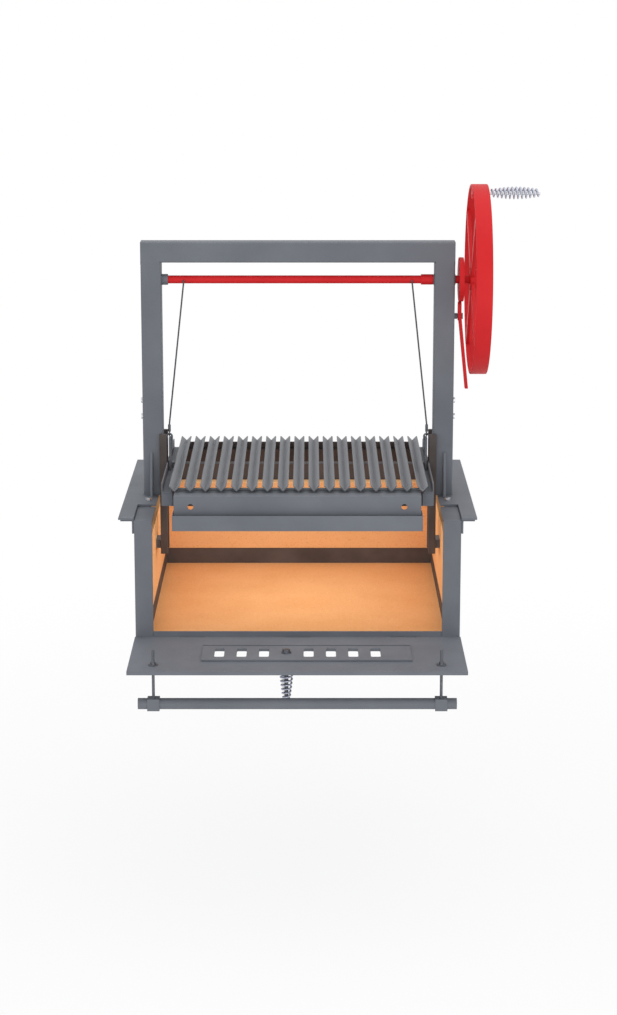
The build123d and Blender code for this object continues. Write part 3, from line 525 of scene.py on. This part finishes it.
gallowsSize = {"near": 0.3402, "far": 0.391, "half": 0.0254, "gusset": 0.370, "gussetHalf": 0.003,
               "gussetTop": 0.118, "gussetDepth": 0.029, "inset": 0.002, "foot": 0.010, "seam": 0.6012,
               "run": 0.022, "rearRun": (0.352, 0.387)}
crownSize = {"length": 0.0448, "radius": 0.006, "flat": 0.03}
gallowsBeads = []
for sign in (-1, 1):
    near, far, middle = (gallowsSize[key] * sign for key in ("near", "far", "gusset"))
    half, foot, seam, run, inset = (gallowsSize[key] for key in ("half", "foot", "seam", "run", "inset"))
    rearStart, rearEnd = (x * sign for x in gallowsSize["rearRun"])
    gallowsBeads.append(weldRun((near, -run, seam), (near, run, seam)))
    for x in (near, far):
        gallowsBeads.append(weldRun((x, -run, foot), (x, run, foot)))
    gallowsBeads.append(weldRun((rearStart, half, foot), (rearEnd, half, foot)))
    for x in (middle - gallowsSize["gussetHalf"], middle + gallowsSize["gussetHalf"]):
        gallowsBeads.append(weldRun((x, -half, foot + inset), (x, -half, gallowsSize["gussetTop"])))
        gallowsBeads.append(weldRun((x, -half - inset, foot), (x, -half - gallowsSize["gussetDepth"], foot)))
# the corner seams are ground nearly flush: a low crown over each, running out to nothing at its edges
for sign in (-1, 1):
    half, seam = gallowsSize["half"], gallowsSize["seam"]
    middle, far = (gallowsSize["near"] + half) * sign, gallowsSize["far"] * sign
    alongX, alongY = (0, math.pi / 2, 0), (math.pi / 2, 0, math.pi)
    for place, turn in (((middle, -half, seam), alongX), ((middle, half, seam), alongX),
                        ((far, 0, seam), alongY)):
        deselect()
        bpy.ops.mesh.primitive_cylinder_add(vertices=48, radius=crownSize["radius"],
                                            depth=crownSize["length"], location=place, rotation=turn)
        crown = bpy.context.object
        bpy.ops.object.transform_apply(location=True, rotation=True, scale=True)
        bpy.ops.object.mode_set(mode="EDIT")
        bpy.ops.mesh.select_all(action="SELECT")
        flatWay = (crownSize["flat"], 1, 1) if turn == alongY else (1, crownSize["flat"], 1)
        bpy.ops.transform.resize(value=flatWay, center_override=place)
        bpy.ops.object.mode_set(mode="OBJECT")
        gallowsBeads.append(crown)
joinBeads(gallowsBeads, "gallowsWelds", steel, "firebox")

# places of the upright beads at the tube corners and legs, and of the level beads along the lugs
uprightBeads = ((0.305, 0.273, 0.041, 0.069), (0.331, 0.038, 0.041, 0.094))
lugBeads = {"x": (0.321, 0.326), "y": (-0.0235, 0.0), "z": 0.074}
carriageBeads = []
for sign in (-1, 1):
    for way in (-1, 1):
        for x, y, low, high in uprightBeads:
            carriageBeads.append(weldRun((x * sign, y * way, low), (x * sign, y * way, high)))
    for x in lugBeads["x"]:
        start, end = ((x * sign, y, lugBeads["z"]) for y in lugBeads["y"])
        carriageBeads.append(weldRun(start, end))
joinBeads(carriageBeads, "carriageWelds", steel, "carriage")

wheelSize = {"shaft": 0.5565, "angles": (40, 130, 220, 310), "spokeFaces": (0.431, 0.439),
             "spokeEnds": (0.2295, 0.0265), "spokeHalf": 0.011, "ringPlaces": (0.429, 0.446, 0.413),
             "ringRadius": 0.010}
wheelBeads = []
for angle in wheelSize["angles"]:
    turn = math.radians(angle)
    out = Vector((0, -math.sin(turn), math.cos(turn)))
    across = Vector((0, -math.cos(turn), -math.sin(turn))) * wheelSize["spokeHalf"]
    for x in wheelSize["spokeFaces"]:
        for reach in wheelSize["spokeEnds"]:
            foot = Vector((x, 0, wheelSize["shaft"])) + out * reach
            wheelBeads.append(weldRun(foot - across, foot + across))
for x in wheelSize["ringPlaces"]:
    wheelBeads.append(weldRing((x, 0, wheelSize["shaft"]), wheelSize["ringRadius"]))
joinBeads(wheelBeads, "wheelWelds", red, "windlass")
print("weld beads laid")

# Floor and light: a pale floor far below the hanging box, an even white room
stageSize = {"floor": -0.95, "half": 60.0, "shadowShare": 0.16, "near": 0.8, "far": 3.0}
deselect()
bpy.ops.mesh.primitive_plane_add(size=2 * stageSize["half"], location=(0, 0, stageSize["floor"]))
floor = bpy.context.object
floor.name = "floor"
paper = newMaterial("palePaper")
lightPath = addNode(paper, "ShaderNodeLightPath").outputs
seen = addNode(paper, "ShaderNodeMath", {"operation": "MAXIMUM"}, None,
               {0: lightPath["Is Camera Ray"], 1: lightPath["Is Glossy Ray"]})
seen = addNode(paper, "ShaderNodeMath", {"operation": "MAXIMUM"}, None,
               {0: seen.outputs[0], 1: lightPath["Is Transmission Ray"]})
spot = addNode(paper, "ShaderNodeTexCoord").outputs["Object"]
away = addNode(paper, "ShaderNodeVectorMath", {"operation": "LENGTH"}, None, {0: spot})
# the shadow shows near the object and the paper runs out to plain white further off
fade = addNode(paper, "ShaderNodeMapRange", {"interpolation_type": "SMOOTHSTEP"},
               {"From Min": stageSize["near"], "From Max": stageSize["far"],
                "To Min": 1 - stageSize["shadowShare"], "To Max": 1.0}, {"Value": away.outputs["Value"]})
share = addNode(paper, "ShaderNodeMath", {"operation": "MULTIPLY"}, None,
                {0: seen.outputs[0], 1: fade.outputs["Result"]})
matt = addNode(paper, "ShaderNodeBsdfDiffuse", None, {"Color": grey(0.9)})
white = addNode(paper, "ShaderNodeEmission", None, {"Color": grey(1.0), "Strength": 1.0})
mixed = addNode(paper, "ShaderNodeMixShader", None, None,
                {0: share.outputs[0], 1: matt.outputs[0], 2: white.outputs[0]})
addNode(paper, "ShaderNodeOutputMaterial", None, None, {"Surface": mixed.outputs[0]})
floor.data.materials.append(paper)

world = bpy.data.worlds.new("whiteRoom")
scene.world = world
world.use_nodes = True
world.node_tree.nodes.clear()
roomLight = {"ambient": 0.85}
roomPath = addNode(world, "ShaderNodeLightPath").outputs
roomSeen = addNode(world, "ShaderNodeMath", {"operation": "MAXIMUM"}, None,
                   {0: roomPath["Is Camera Ray"], 1: roomPath["Is Glossy Ray"]})
roomSeen = addNode(world, "ShaderNodeMath", {"operation": "MAXIMUM"}, None,
                   {0: roomSeen.outputs[0], 1: roomPath["Is Transmission Ray"]})
soft = addNode(world, "ShaderNodeBackground", None, {"Color": grey(1.0), "Strength": roomLight["ambient"]})
bright = addNode(world, "ShaderNodeBackground", None, {"Color": grey(1.0), "Strength": 1.0})
room = addNode(world, "ShaderNodeMixShader", None, None,
               {0: roomSeen.outputs[0], 1: soft.outputs[0], 2: bright.outputs[0]})
addNode(world, "ShaderNodeOutputWorld", None, None, {"Surface": room.outputs[0]})

lamps = {
    "frontLamp": {"place": (-1.0, -4.5, 2.4), "aim": (0, 0, 0.1), "size": (3.0, 3.0), "power": 10},
    "boxLamp": {"place": (0.2, -3.2, -0.1), "aim": (0, 0, -0.2), "size": (1.6, 1.6), "power": 10},
    "topLamp": {"place": (0.6, -0.6, 4.0), "aim": (0, 0, 0), "size": (3.0, 3.0), "power": 25},
    # a work light under the grate, unseen itself, that shows the brick lining
    "hearthLamp": {"place": (0, 0, 0.03), "aim": (0, 0, -1.0), "size": (0.58, 0.5), "power": 1.5},
}
for name, lamp in lamps.items():
    bpy.ops.object.light_add(type="AREA", location=lamp["place"])
    light = bpy.context.object
    light.name = name
    light.data.shape = "RECTANGLE"
    light.data.size, light.data.size_y = lamp["size"]
    light.data.energy = lamp["power"]
    light.visible_camera = False
    light.visible_glossy = name != "hearthLamp"
    light.rotation_euler = (Vector(lamp["aim"]) - Vector(lamp["place"])).to_track_quat("-Z", "Y").to_euler()

# Camera: straight on, a little above, as the picture was taken
view = {"place": (0.0265, -6.040, 1.370), "pitch": 13.03, "lens": 57.5, "sensor": 24.0}
bpy.ops.object.camera_add(location=view["place"], rotation=(math.radians(90 - view["pitch"]), 0, 0))
camera = bpy.context.object
camera.data.sensor_fit = "VERTICAL"
camera.data.sensor_height = view["sensor"]
camera.data.lens = view["lens"]
scene.camera = camera
print("stage and camera set")
